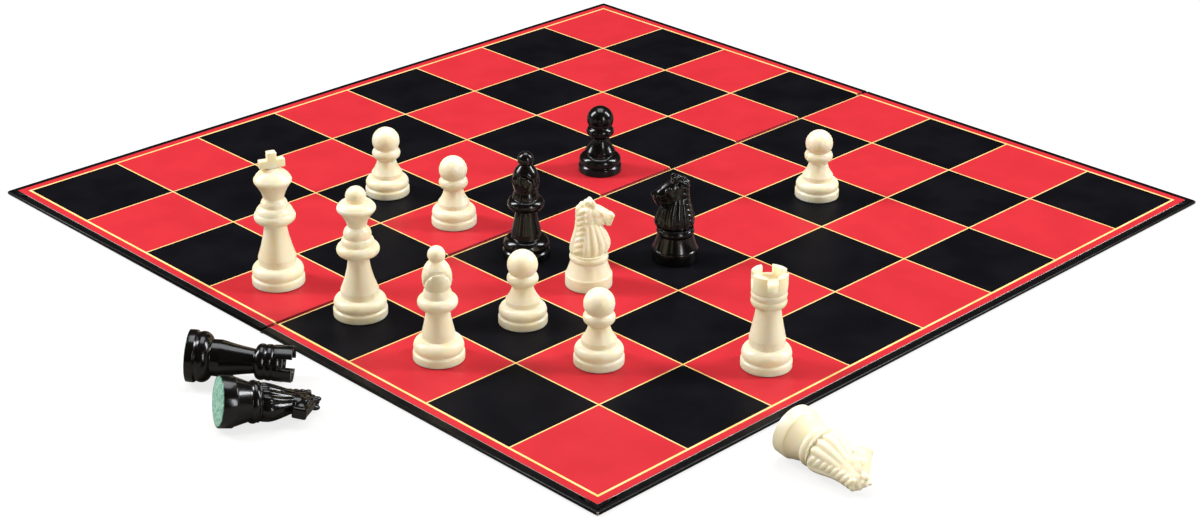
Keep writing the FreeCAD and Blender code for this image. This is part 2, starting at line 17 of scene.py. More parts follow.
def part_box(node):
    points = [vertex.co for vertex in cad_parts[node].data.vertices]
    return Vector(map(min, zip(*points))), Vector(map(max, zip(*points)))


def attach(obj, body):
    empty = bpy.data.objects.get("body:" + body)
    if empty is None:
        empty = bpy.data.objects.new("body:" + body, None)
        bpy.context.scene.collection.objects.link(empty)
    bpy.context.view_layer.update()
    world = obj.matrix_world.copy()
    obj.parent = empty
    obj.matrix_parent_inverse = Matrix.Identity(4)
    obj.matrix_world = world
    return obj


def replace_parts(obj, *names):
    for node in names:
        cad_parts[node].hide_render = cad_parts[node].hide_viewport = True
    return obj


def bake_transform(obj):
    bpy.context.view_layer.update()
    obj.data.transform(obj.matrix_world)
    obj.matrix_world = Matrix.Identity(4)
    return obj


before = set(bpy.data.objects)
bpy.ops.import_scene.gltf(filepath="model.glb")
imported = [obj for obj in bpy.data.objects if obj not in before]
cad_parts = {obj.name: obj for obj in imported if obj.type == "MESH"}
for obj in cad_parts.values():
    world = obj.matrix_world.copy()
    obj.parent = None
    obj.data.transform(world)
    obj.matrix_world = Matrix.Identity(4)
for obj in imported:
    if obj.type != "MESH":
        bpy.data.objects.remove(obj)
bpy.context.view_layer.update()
scene = bpy.context.scene
MM = 0.001
TO_METRES = Matrix.Scale(MM, 4)

# %% [markdown]
# ## Finishes
# Every finish here is a Principled shader fed by a few textures. Two effects come up again and again: a slow
# drift of colour, and a fine tooth that breaks up the shine. Each is built once as a node group and placed in
# every material with its own values, so that a change to the effect reaches all of them.

# %% Node group helpers
def new_group(name, inputs, outputs):
    """An empty shader group with named sockets, and its two end nodes."""
    group = bpy.data.node_groups.new(name, "ShaderNodeTree")
    for socket, kind, value in inputs:
        made = group.interface.new_socket(socket, in_out="INPUT", socket_type=kind)
        made.default_value = value
    for socket, kind in outputs:
        group.interface.new_socket(socket, in_out="OUTPUT", socket_type=kind)
    return group, group.nodes.new("NodeGroupInput"), group.nodes.new("NodeGroupOutput")


def add_node(tree, kind, **settings):
    """A new node with its properties set."""
    node = tree.nodes.new(kind)
    for name, value in settings.items():
        setattr(node, name, value)
    return node


def wire(tree, *pairs):
    """Link pairs of sockets, from the first to the second of each."""
    for source, target in pairs:
        tree.links.new(source, target)


print("node helpers ready")

# %% [markdown]
# The drift mixes a second colour into the first by a soft cloud of noise. Ink, plastic, felt and board all
# show some: no real surface is one flat colour.

# %% Colour drift
DRIFT_DETAIL = 5.0
DRIFT_FROM, DRIFT_TO = 0.32, 0.68

drift, drift_in, drift_out = new_group(
    "colour_drift",
    [("Colour", "NodeSocketColor", (1, 1, 1, 1)), ("Second", "NodeSocketColor", (0, 0, 0, 1)),
     ("Scale", "NodeSocketFloat", 100.0), ("Amount", "NodeSocketFloat", 0.5)],
    [("Colour", "NodeSocketColor"), ("Mask", "NodeSocketFloat")])
drift_place = add_node(drift, "ShaderNodeTexCoord")
drift_noise = add_node(drift, "ShaderNodeTexNoise")
drift_noise.inputs["Detail"].default_value = DRIFT_DETAIL
drift_spread = add_node(drift, "ShaderNodeMapRange", interpolation_type="SMOOTHSTEP")
drift_spread.inputs["From Min"].default_value = DRIFT_FROM
drift_spread.inputs["From Max"].default_value = DRIFT_TO
drift_share = add_node(drift, "ShaderNodeMath", operation="MULTIPLY")
drift_mix = add_node(drift, "ShaderNodeMix", data_type="RGBA")
wire(drift,
     (drift_place.outputs["Object"], drift_noise.inputs["Vector"]),
     (drift_in.outputs["Scale"], drift_noise.inputs["Scale"]),
     (drift_noise.outputs["Fac"], drift_spread.inputs["Value"]),
     (drift_spread.outputs["Result"], drift_share.inputs[0]),
     (drift_in.outputs["Amount"], drift_share.inputs[1]),
     (drift_share.outputs[0], drift_mix.inputs["Factor"]),
     (drift_in.outputs["Colour"], drift_mix.inputs["A"]),
     (drift_in.outputs["Second"], drift_mix.inputs["B"]),
     (drift_mix.outputs["Result"], drift_out.inputs["Colour"]),
     (drift_spread.outputs["Result"], drift_out.inputs["Mask"]))
print("group:", drift.name)

# %% [markdown]
# The tooth is a fine height: paper fibres, the grain of a mould, the nap of felt. It feeds a Bump node for the
# shading and a Map Range for the roughness, so the shine is broken in the same places as the surface.

# %% Surface tooth
TOOTH_DETAIL = 3.0
TOOTH_FROM, TOOTH_TO = 0.3, 0.7

tooth, tooth_in, tooth_out = new_group(
    "surface_tooth",
    [("Scale", "NodeSocketFloat", 2000.0), ("Smooth", "NodeSocketFloat", 0.3),
     ("Rough", "NodeSocketFloat", 0.4)],
    [("Height", "NodeSocketFloat"), ("Roughness", "NodeSocketFloat")])
tooth_place = add_node(tooth, "ShaderNodeTexCoord")
tooth_noise = add_node(tooth, "ShaderNodeTexNoise")
tooth_noise.inputs["Detail"].default_value = TOOTH_DETAIL
tooth_range = add_node(tooth, "ShaderNodeMapRange")
tooth_range.inputs["From Min"].default_value = TOOTH_FROM
tooth_range.inputs["From Max"].default_value = TOOTH_TO
wire(tooth,
     (tooth_place.outputs["Object"], tooth_noise.inputs["Vector"]),
     (tooth_in.outputs["Scale"], tooth_noise.inputs["Scale"]),
     (tooth_noise.outputs["Fac"], tooth_range.inputs["Value"]),
     (tooth_in.outputs["Smooth"], tooth_range.inputs["To Min"]),
     (tooth_in.outputs["Rough"], tooth_range.inputs["To Max"]),
     (tooth_noise.outputs["Fac"], tooth_out.inputs["Height"]),
     (tooth_range.outputs["Result"], tooth_out.inputs["Roughness"]))
print("group:", tooth.name)

# %% [markdown]
# One function lays out what all the finishes share: drift into Base Color, tooth into Roughness and Normal. The
# roughness is given as its two ends, and the bump as its strength and its height. Values that are the same all
# over, such as a sheen or the light that plastic lets in, are set on the shader's own sockets.

# %% A finish from its values
def new_finish(name, colour, second, drift_scale, drift_amount, tooth_scale, roughness, bump, **shader_values):
    """A material whose colour drifts and whose shine is broken by a fine tooth."""
    material = bpy.data.materials.new(name)
    material.use_nodes = True
    tree = material.node_tree
    shader = tree.nodes["Principled BSDF"]
    colours = add_node(tree, "ShaderNodeGroup", node_tree=drift, name="drift")
    colours.inputs["Colour"].default_value = (*colour, 1)
    colours.inputs["Second"].default_value = (*second, 1)
    colours.inputs["Scale"].default_value = drift_scale
    colours.inputs["Amount"].default_value = drift_amount
    grain = add_node(tree, "ShaderNodeGroup", node_tree=tooth, name="tooth")
    grain.inputs["Scale"].default_value = tooth_scale
    grain.inputs["Smooth"].default_value = roughness[0]
    grain.inputs["Rough"].default_value = roughness[1]
    relief = add_node(tree, "ShaderNodeBump", name="relief")
    relief.inputs["Strength"].default_value = bump[0]
    relief.inputs["Distance"].default_value = bump[1] * MM
    wire(tree,
         (colours.outputs["Colour"], shader.inputs["Base Color"]),
         (grain.outputs["Roughness"], shader.inputs["Roughness"]),
         (grain.outputs["Height"], relief.inputs["Height"]),
         (relief.outputs["Normal"], shader.inputs["Normal"]))
    for socket, value in shader_values.items():
        shader.inputs[socket.replace("_", " ").title().replace("Ior", "IOR")].default_value = value
    return material


print("finish helper ready")

# %% [markdown]
# The men are two plastics. Ivory is a warm white that lets a little light in, so its shaded turns look tan and
# not grey. Black is polished, and shows almost nothing but the lamps.

# %% Plastics
ivory_plastic = new_finish(
    "ivory_plastic", colour=(0.98, 0.90, 0.71), second=(0.95, 0.78, 0.48), drift_scale=90.0, drift_amount=0.5,
    tooth_scale=900.0, roughness=(0.27, 0.37), bump=(0.04, 0.05), subsurface_weight=0.45,
    subsurface_scale=0.004, subsurface_radius=(1.0, 0.6, 0.25), specular_ior_level=0.5)
black_plastic = new_finish(
    "black_plastic", colour=(0.0030, 0.0028, 0.0030), second=(0.0050, 0.0045, 0.0045), drift_scale=120.0,
    drift_amount=0.6, tooth_scale=900.0, roughness=(0.15, 0.22), bump=(0.04, 0.05), specular_ior_level=0.5)
print("plastics:", ivory_plastic.name, black_plastic.name)

# %% [markdown]
# The print on the board is three inks: red, black and a pale gold. They are nearly matt, because a shine on the
# large flat squares would wash their colour out. The sheet they are printed on shows its white cut edge.

# %% Inks
red_ink = new_finish(
    "red_ink", colour=(0.53, 0.023, 0.034), second=(0.465, 0.018, 0.028), drift_scale=55.0, drift_amount=0.55,
    tooth_scale=2600.0, roughness=(0.40, 0.52), bump=(0.10, 0.05), specular_ior_level=0.12)
black_ink = new_finish(
    "black_ink", colour=(0.0030, 0.0030, 0.0046), second=(0.0058, 0.0055, 0.0075), drift_scale=45.0,
    drift_amount=0.8, tooth_scale=2600.0, roughness=(0.40, 0.52), bump=(0.12, 0.05), specular_ior_level=0.04)
gold_ink = new_finish(
    "gold_ink", colour=(0.86, 0.58, 0.19), second=(0.92, 0.70, 0.33), drift_scale=160.0, drift_amount=0.8,
    tooth_scale=2600.0, roughness=(0.40, 0.50), bump=(0.10, 0.05), specular_ior_level=0.15)
paper_edge = new_finish(
    "paper_edge", colour=(0.86, 0.83, 0.80), second=(0.66, 0.62, 0.58), drift_scale=700.0, drift_amount=0.7,
    tooth_scale=3000.0, roughness=(0.7, 0.9), bump=(0.3, 0.05))
print("inks:", red_ink.name, black_ink.name, gold_ink.name)

# %% [markdown]
# Under the print is greyboard, and around it a black wrapping paper that is turned over the board's edges.

# %% Boards
black_wrap = new_finish(
    "black_wrap", colour=(0.0030, 0.0030, 0.0036), second=(0.0065, 0.0065, 0.0072), drift_scale=150.0,
    drift_amount=0.6, tooth_scale=1800.0, roughness=(0.26, 0.36), bump=(0.08, 0.05), specular_ior_level=0.15)
greyboard = new_finish(
    "greyboard", colour=(0.30, 0.27, 0.24), second=(0.20, 0.18, 0.16), drift_scale=420.0, drift_amount=0.9,
    tooth_scale=1500.0, roughness=(0.85, 0.98), bump=(0.5, 0.2))
print("boards:", black_wrap.name, greyboard.name)

# %% [markdown]
# So much red paper would throw a pink cast on the ivory men and a red shine on the black ones. Light that
# leaves the red for another surface is therefore made quieter, sandy where it lights a surface and a dark grey
# where a shiny one mirrors it: the Light Path node tells those rays from the ones the camera sees.

# %% Quiet the red
CAST_SHARE = 0.75
CAST_COLOUR = (0.34, 0.25, 0.15, 1)
MIRROR_SHARE = 0.8
MIRROR_COLOUR = (0.10, 0.10, 0.11, 1)

tree = red_ink.node_tree
rays = add_node(tree, "ShaderNodeLightPath")
cast = add_node(tree, "ShaderNodeMath", operation="MULTIPLY")
cast.inputs[1].default_value = CAST_SHARE
quiet = add_node(tree, "ShaderNodeMix", data_type="RGBA")
quiet.inputs["B"].default_value = CAST_COLOUR
mirrored = add_node(tree, "ShaderNodeMath", operation="MULTIPLY")
mirrored.inputs[1].default_value = MIRROR_SHARE
dim = add_node(tree, "ShaderNodeMix", data_type="RGBA")
dim.inputs["B"].default_value = MIRROR_COLOUR
wire(tree,
     (rays.outputs["Is Diffuse Ray"], cast.inputs[0]),
     (cast.outputs[0], quiet.inputs["Factor"]),
     (tree.nodes["drift"].outputs["Colour"], quiet.inputs["A"]),
     (rays.outputs["Is Glossy Ray"], mirrored.inputs[0]),
     (mirrored.outputs[0], dim.inputs["Factor"]),
     (quiet.outputs["Result"], dim.inputs["A"]),
     (dim.outputs["Result"], tree.nodes["Principled BSDF"].inputs["Base Color"]))
print("red ink:", len(tree.nodes), "nodes")

# %% [markdown]
# The felt under the bases is a mint green fibre with pale and dark flecks, and a soft sheen at its edges.

# %% Felt
green_felt = new_finish(
    "green_felt", colour=(0.045, 0.30, 0.21), second=(0.40, 0.72, 0.57), drift_scale=700.0, drift_amount=0.95,
    tooth_scale=1600.0, roughness=(0.9, 1.0), bump=(1.0, 0.35), sheen_weight=0.35, sheen_roughness=0.5)
print("felt:", green_felt.name)

# %% [markdown]
# ## Drawing with a pen
# Turned work and folded board both start from an outline. Here an outline is a wire of vertices in the XZ
# plane. A straight stroke adds one vertex and one edge. An arc is swung from its start as with a compass: the
# spin operator carries the pen about the arc's centre and leaves the edges behind it. The centre of the circle
# through three points comes from a short sum with complex numbers.

# %% Strokes and arcs
ARC_STEP = math.radians(11)
FEWEST_STEPS = 3


def new_pen(bm, across, up):
    return bm.verts.new((across, 0, up))


def straight(bm, pen, across, up):
    """Draw a straight stroke and return its end."""
    tip = new_pen(bm, across, up)
    bm.edges.new((pen, tip))
    return tip


def swing(bm, pen, through, end):
    """Swing the pen along the arc through one point to its end, and return that end."""
    start, middle, stop = complex(pen.co.x, pen.co.z), complex(*through), complex(*end)
    bend = (stop - start) / (middle - start)
    centre = start + (middle - start) * (bend - abs(bend) ** 2) / (2j * bend.imag)
    sweep = cmath.phase((middle - centre) / (start - centre)) + cmath.phase((stop - centre) / (middle - centre))
    drawn = bmesh.ops.spin(bm, geom=[pen], cent=(centre.real, 0, centre.imag), axis=(0, -1, 0), angle=sweep,
                           steps=max(FEWEST_STEPS, round(abs(sweep) / ARC_STEP)))
    return next(item for item in drawn["geom_last"] if isinstance(item, bmesh.types.BMVert))


print("pen ready")

# %% [markdown]
# A finished bmesh becomes an object with the materials it needs. The object stays at the origin, unturned and
# unscaled, so that a pattern on Object coordinates is not moved when the piece is.

# %% Finishing a piece
def finish_piece(name, bm, *materials):
    """Turn a finished bmesh into a smooth-shaded piece at the origin."""
    mesh = bpy.data.meshes.new(name)
    bm.to_mesh(mesh)
    bm.free()
    mesh.shade_smooth()
    for material in materials:
        mesh.materials.append(material)
    piece = bpy.data.objects.new(name, mesh)
    scene.collection.objects.link(piece)
    return piece


def pulled_verts(drawn):
    """The vertices among what an extrusion has made."""
    return [item for item in drawn["geom"] if isinstance(item, bmesh.types.BMVert)]


print("finishing ready")

# %% [markdown]
# ## The printed face
# Eight by eight squares lie inside a gold border, with a red margin and the black rim outside it. Which ink a
# point of the sheet has follows from how many squares it is from the middle of the board.

# %% Board sizes and inks
SQUARE = 48.0
SQUARES_IN_HALF = 4
RED_MARGIN = 4.1
RIM_WIDTH = 3.9
LINE = 0.65
BORDER_LINE = 1.05
FOLD_LINES = {"near": (1.25, 1.9), "far": ()}
GRID = SQUARE * SQUARES_IN_HALF
SHEET_SPAN = GRID + RED_MARGIN
HALF_SPAN = SHEET_SPAN + RIM_WIDTH
RED, BLACK, GOLD, EDGE = range(4)


def in_line(place):
    """True on a printed line, for a distance from the middle of the board along X or Y."""
    from_border = abs(abs(place) - GRID)
    from_line = abs(place - SQUARE * round(place / SQUARE))
    return from_border < BORDER_LINE / 2 or (abs(place) < GRID and from_line < LINE / 2)


def ink_at(across, along, fold_line):
    """The ink of a point of a half's sheet, seen from the near half's side."""
    if max(abs(across), abs(along)) > GRID + BORDER_LINE / 2:
        return RED
    by_fold = bool(fold_line) and fold_line[0] < across < fold_line[1]
    if by_fold or in_line(along) or (across > SQUARE / 2 and in_line(across)):
        return GOLD
    return BLACK if (math.floor(across / SQUARE) + math.floor(along / SQUARE)) % 2 == 0 else RED


print("a half of the board is", HALF_SPAN, "mm from the fold to its edge")

# %% [markdown]
# Each half carries one printed sheet that turns down into the fold. Its section is drawn once, pulled along
# the fold, and cut along the printed lines with bisect_plane, so that every ink has faces of its own and its
# edges stay crisp at any distance. A texture could print the squares too, but a baked one would blur the lines.

# %% Printed sheets
WRAP = 0.25
SHEET = 0.25
BOARD_TOP = 2.0
FOLD_EDGE = 0.7
FOLD_ROUND = 1.0
SAME_PLANE = 1e-5
NEAR = Matrix()
FAR = Matrix.Rotation(math.pi, 4, "Z")


def cut_along(bm, places, direction):
    """Cut every face along planes at these distances from the middle of the board."""
    for place in places:
        bmesh.ops.bisect_plane(bm, geom=bm.faces[:] + bm.edges[:] + bm.verts[:], plane_co=direction * place,
                               plane_no=direction, dist=SAME_PLANE)


def line_edges(first, last):
    """Both edges of each printed line between two counts of squares."""
    edges = []
    for count in range(first, last + 1):
        width = BORDER_LINE if abs(count) == SQUARES_IN_HALF else LINE
        edges += [count * SQUARE - width / 2, count * SQUARE + width / 2]
    return edges


def make_print(half, turn):
    bm = bmesh.new()
    lip = FOLD_EDGE - SHEET
    radius = FOLD_ROUND + SHEET
    inset = radius * (1 - math.sqrt(0.5))
    pen = straight(bm, new_pen(bm, SHEET_SPAN, BOARD_TOP), lip + radius, BOARD_TOP)
    pen = swing(bm, pen, (lip + inset, BOARD_TOP - inset), (lip, BOARD_TOP - radius))
    straight(bm, pen, lip, WRAP)
    bmesh.ops.translate(bm, verts=bm.verts, vec=(0, -SHEET_SPAN, 0))
    drawn = bmesh.ops.extrude_edge_only(bm, edges=bm.edges[:])
    bmesh.ops.translate(bm, verts=pulled_verts(drawn), vec=(0, 2 * SHEET_SPAN, 0))
    cut_along(bm, line_edges(1, SQUARES_IN_HALF) + list(FOLD_LINES[half]), Vector((1, 0, 0)))
    cut_along(bm, line_edges(-SQUARES_IN_HALF, SQUARES_IN_HALF), Vector((0, 1, 0)))
    bmesh.ops.recalc_face_normals(bm, faces=bm.faces)
    if max(bm.faces, key=lambda face: face.calc_area()).normal.z < 0:
        bmesh.ops.reverse_faces(bm, faces=bm.faces)
    for face in bm.faces:
        middle = face.calc_center_median()
        face.material_index = ink_at(middle.x, middle.y, FOLD_LINES[half])
    printed = set(bm.faces)
    bmesh.ops.solidify(bm, geom=bm.faces[:], thickness=SHEET)
    for face in set(bm.faces) - printed:
        face.material_index = EDGE
    bmesh.ops.transform(bm, matrix=TO_METRES @ turn, verts=bm.verts)
    piece = finish_piece(f"{half}_print", bm, red_ink, black_ink, gold_ink, paper_edge)
    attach(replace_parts(piece, f"{half}_sheet", f"{half}_black_squares"), f"{half}_half")
    return piece


for half, turn in (("near", NEAR), ("far", FAR)):
    piece = make_print(half, turn)
    piece.data.polygons.foreach_set("use_smooth", [False] * len(piece.data.polygons))
    print(piece.name, len(piece.data.polygons), "faces")

# %% [markdown]
# ## The wrap
# Black paper covers the back of each half and is turned over its edges, which leaves a soft, shiny rim around
# the print. A block of the half's size has its corners and edges rounded with bevel; the part of the top that
# the print hides is inset and taken out, and solidify gives what is left the thickness of the paper. Only the
# rounds are shaded smooth: on the flats, smooth shading would spread the glint of the edge over the whole rim.
# The greyboard inside is the CAD solid as it is, and only gets its finish.

# %% Wrap
RIM_TOP = 1.75
CORNER_ROUND = 1.6
RIM_ROUND = 0.75
ROUND_SEGMENTS = 5
TURN_IN = 12.0
WRAP_SHARE = 0.9
FLAT = 0.9999
NEAR_ENOUGH = 0.01


def is_level(edge):
    return abs(edge.verts[0].co.z - edge.verts[1].co.z) < NEAR_ENOUGH


def soften(bm, edges, width, segments):
    bmesh.ops.bevel(bm, geom=edges, offset=width, offset_type="OFFSET", affect="EDGES", segments=segments,
                    profile=0.5, material=-1, clamp_overlap=True)


def make_wrap(half, turn):
    bm = bmesh.new()
    middle = Vector(((HALF_SPAN + FOLD_EDGE) / 2, 0, RIM_TOP / 2))
    size = (HALF_SPAN - FOLD_EDGE, 2 * HALF_SPAN, RIM_TOP)
    bmesh.ops.create_cube(bm, size=1, matrix=Matrix.Translation(middle) @ Matrix.Diagonal((*size, 1)))
    outside = HALF_SPAN - NEAR_ENOUGH
    posts = [edge for edge in bm.edges
             if all(vert.co.x > outside for vert in edge.verts) and not is_level(edge)]
    soften(bm, posts, CORNER_ROUND, ROUND_SEGMENTS)
    fold_side = FOLD_EDGE + NEAR_ENOUGH
    rim = [edge for edge in bm.edges
           if is_level(edge) and not all(vert.co.x < fold_side for vert in edge.verts)]
    soften(bm, rim, RIM_ROUND, ROUND_SEGMENTS)
    top = max(bm.faces, key=lambda face: face.calc_center_median().z + face.normal.z * face.calc_area())
    bmesh.ops.inset_individual(bm, faces=[top], thickness=TURN_IN)
    bmesh.ops.delete(bm, geom=[top], context="FACES")
    bmesh.ops.recalc_face_normals(bm, faces=bm.faces)
    if max(bm.faces, key=lambda face: face.calc_area()).normal.z > 0:
        bmesh.ops.reverse_faces(bm, faces=bm.faces)
    bmesh.ops.solidify(bm, geom=bm.faces[:], thickness=WRAP * WRAP_SHARE)
    bmesh.ops.transform(bm, matrix=TO_METRES @ turn, verts=bm.verts)
    piece = finish_piece(f"{half}_cover", bm, black_wrap)
    for face in piece.data.polygons:
        face.use_smooth = max(abs(part) for part in face.normal) < FLAT
    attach(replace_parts(piece, f"{half}_wrap"), f"{half}_half")
    return piece


for half, turn in (("near", NEAR), ("far", FAR)):
    piece = make_wrap(half, turn)
    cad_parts[f"{half}_core"].data.materials.clear()
    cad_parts[f"{half}_core"].data.materials.append(greyboard)
    print(piece.name, len(piece.data.polygons), "faces")

# %% [markdown]
# ## The fold
# The strip of wrap under the fold bends as the board closes. Here it is a flat strip, cut into bands that run
# along the fold.

# %% Fold strip
FOLD_BANDS = 10

bm = bmesh.new()
bmesh.ops.create_cube(bm, size=1, matrix=Matrix.Translation((0, 0, WRAP / 2))
                      @ Matrix.Diagonal((2 * FOLD_EDGE, 2 * HALF_SPAN, WRAP, 1)))
across = [edge for edge in bm.edges if abs(edge.verts[0].co.x - edge.verts[1].co.x) > FOLD_EDGE]
bmesh.ops.subdivide_edges(bm, edges=across, cuts=FOLD_BANDS - 1, use_grid_fill=True)
bmesh.ops.transform(bm, matrix=TO_METRES, verts=bm.verts)
fold_strip = finish_piece("fold_strip", bm, black_wrap)
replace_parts(fold_strip, "fold_hinge")
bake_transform(fold_strip)
print("fold strip:", len(fold_strip.data.polygons), "faces")

# %% [markdown]
# ## Turned men
# All the men but the knight are turned shapes, and so is the knight's base. A base is given by the radius and
# the height of its wall, and then by the radius and the height of the shoulder above it. From the shoulder
# upwards an outline is listed stroke by stroke: how the pen goes, the radius it reaches and the rise from the
# point before. An arc passes through the point that is listed before its end. A ball, or the cap of a larger
# one, tops most of the men.

# %% The men's outlines
BASES = {
    "king": (11.5, 3.4, 8.1, 9.5), "queen": (11.5, 3.4, 8.1, 9.1), "bishop": (10.65, 3.4, 6.7, 9.6),
    "rook": (10.6, 3.4, 7.4, 9.8), "pawn": (10.4, 3.4, 7.2, 8.9), "knight": (10.3, 5.5, 7.75, 12.1),
}
TURNED = {
    "king": [
        ("line", 8.3, 3.2), ("through", 6.15, 7.4), ("arc", 4.6, 8.1), ("line", 7.4, 1.0),
        ("through", 8.95, 1.9), ("arc", 8.1, 2.6), ("through", 7.55, 1.5), ("arc", 5.8, 1.5),
        ("through", 5.8, 1.0), ("arc", 5.0, 1.7), ("line", 4.4, 1.0), ("through", 5.6, 3.3),
        ("arc", 7.85, 3.7), ("through", 8.2, 1.0), ("arc", 8.0, 1.0),
    ],
    "queen": [
        ("line", 8.1, 2.8), ("through", 5.6, 7.3), ("arc", 4.25, 7.9), ("line", 7.5, 1.0),
        ("through", 9.05, 2.1), ("arc", 6.9, 2.8), ("through", 6.9, 1.3), ("arc", 5.75, 1.8),
        ("through", 5.9, 1.5), ("arc", 5.1, 2.2), ("line", 3.95, 1.2), ("through", 4.85, 3.0),
        ("arc", 7.5, 3.8), ("through", 8.2, 1.3), ("arc", 7.7, 1.2), ("through", 6.4, 1.4), ("arc", 3.9, 0.6),
    ],
    "bishop": [
        ("line", 6.75, 2.5), ("through", 5.6, 5.1), ("arc", 4.65, 5.3), ("line", 6.8, 0.8),
        ("through", 8.25, 2.0), ("arc", 6.0, 3.1), ("through", 5.8, 1.6), ("arc", 5.1, 1.8),
        ("through", 6.1, 4.0), ("arc", 5.75, 3.5), ("through", 4.6, 2.7), ("arc", 2.75, 2.1),
    ],
    "rook": [
        ("line", 7.5, 3.6), ("through", 6.15, 6.3), ("arc", 5.0, 7.2), ("line", 6.3, 0.6),
        ("through", 7.4, 2.0), ("arc", 6.95, 1.6), ("through", 7.4, 1.5), ("arc", 7.0, 1.5),
        ("line", 7.35, 0.4), ("line", 7.6, 7.7), ("line", 5.2, 0.0), ("line", 5.2, -4.6), ("line", 0.0, 0.0),
    ],
    "pawn": [
        ("line", 7.25, 2.1), ("through", 5.4, 2.9), ("arc", 4.3, 3.5), ("line", 5.3, 0.8),
        ("through", 6.65, 2.1), ("arc", 5.25, 2.7),
    ],
    "knight": [
        ("through", 8.5, 1.6), ("arc", 7.9, 1.5), ("line", 8.2, 0.7), ("line", 0.0, 0.0),
    ],
}
HEAD_RADIUS = {"king": 9.1, "queen": 4.4, "bishop": 3.65, "pawn": 6.45}
print("outlines:", sorted(TURNED))

# %% [markdown]
# A base has a shallow pocket for its felt, an upright wall, and above it a groove and a swell up to the
# shoulder. The knight's base is plainer: a small step and a straight cone.

# %% Drawing a man
FELT = 0.8
FELT_PROUD = 0.25
FELT_RIM = 0.5
GROOVE_DEPTH, GROOVE_RISE = 0.8, 0.8
SWELL_INSET, SWELL_RISE = 0.3, 2.0
STEP_INSET, STEP_RISE = 0.45, 0.5
SAME_PLACE = 1e-4


def draw_base(bm, kind):
    """Pocket for the felt and the base up to its shoulder; returns the pen there and the corners."""
    base, wall, shoulder, height = BASES[kind]
    pocket = base - FELT_RIM
    outline = [(pocket, FELT), (pocket, FELT_PROUD), (base, FELT_PROUD), (base, wall)]
    if kind == "knight":
        outline += [(base - STEP_INSET, wall + STEP_RISE), (shoulder, height)]
    else:
        outline.append((base - GROOVE_DEPTH, wall + GROOVE_RISE))
    pen = new_pen(bm, 0, FELT)
    corners = []
    for across, up in outline:
        pen = straight(bm, pen, across, up)
        corners.append(pen)
    if kind != "knight":
        swell = (base - SWELL_INSET, wall + GROOVE_RISE + SWELL_RISE)
        pen = swing(bm, pen, swell, (shoulder, height))
        corners.append(pen)
    return pen, corners


def draw_head(bm, pen, radius, cap):
    """The ball that tops a man, or only the cap of a larger ball."""
    to_middle = math.sqrt(radius ** 2 - pen.co.x ** 2)
    middle = pen.co.z - to_middle if cap else pen.co.z + to_middle
    beside = pen.co.x / 2
    swing(bm, pen, (beside, middle + math.sqrt(radius ** 2 - beside ** 2)), (0, middle + radius))


def draw_man(bm, kind):
    """The whole outline of a man, up to the axis; returns the corners to be rounded."""
    pen, corners = draw_base(bm, kind)
    up = pen.co.z
    through = None
    for form, across, rise in TURNED[kind]:
        up += rise
        if form == "through":
            through = (across, up)
            continue
        pen = swing(bm, pen, through, (across, up)) if form == "arc" else straight(bm, pen, across, up)
        corners.append(pen)
    if kind in HEAD_RADIUS:
        draw_head(bm, pen, HEAD_RADIUS[kind], cap=kind == "king")
    return [corner for corner in corners if corner.co.x > SAME_PLACE]


print("drawing ready")

# %% [markdown]
# The corners of an outline are rounded a little with a vertex bevel, because a mould never leaves a knife edge,
# and the wire is then spun about Z. The Screw modifier would do the same, but a spin in the bmesh lets the next
# steps cut the shape at once.

# %% Turning a man
CORNER = 0.22
CORNER_SEGMENTS = 3
LATHE_STEPS = 72


def turn_on_lathe(bm, corners, width):
    """Round an outline's corners, spin it about Z and close it at its poles."""
    bmesh.ops.bevel(bm, geom=corners, offset=width, offset_type="OFFSET", affect="VERTICES",
                    segments=CORNER_SEGMENTS, profile=0.5, material=-1, clamp_overlap=True)
    bmesh.ops.spin(bm, geom=bm.verts[:] + bm.edges[:], cent=(0, 0, 0), axis=(0, 0, 1), angle=math.tau,
                   steps=LATHE_STEPS, use_merge=True)
    bmesh.ops.remove_doubles(bm, verts=bm.verts, dist=SAME_PLACE)
    bmesh.ops.recalc_face_normals(bm, faces=bm.faces)
    return bm


def lathe(kind):
    bm = bmesh.new()
    return turn_on_lathe(bm, draw_man(bm, kind), CORNER)


def height_of(bm):
    return max(vert.co.z for vert in bm.verts)


blank = lathe("pawn")
print("a pawn is", round(height_of(blank), 1), "mm tall, in", len(blank.faces), "faces")
blank.free()

# %% [markdown]
# The king carries a cross on its dome. A post is cut across at the height of the arms, its side faces there
# are pulled out, and every edge is rounded.

# %% King's cross
CROSS_SEAT = 0.6
CROSS_THICKNESS = 3.4
POST_WIDTH = 4.0
ARM_SPAN = 11.2
ARM_RISE, ARM_HEIGHT = 0.2, 3.7
POST_RISE = 3.4
CROSS_ROUND = 0.5
CROSS_SEGMENTS = 4
SIDEWAYS = 0.9
SHARP = 0.5


def join_into(bm, other):
    """Add another bmesh's shell to this one."""
    carrier = bpy.data.meshes.new("carrier")
    other.to_mesh(carrier)
    other.free()
    bm.from_mesh(carrier)
    bpy.data.meshes.remove(carrier)


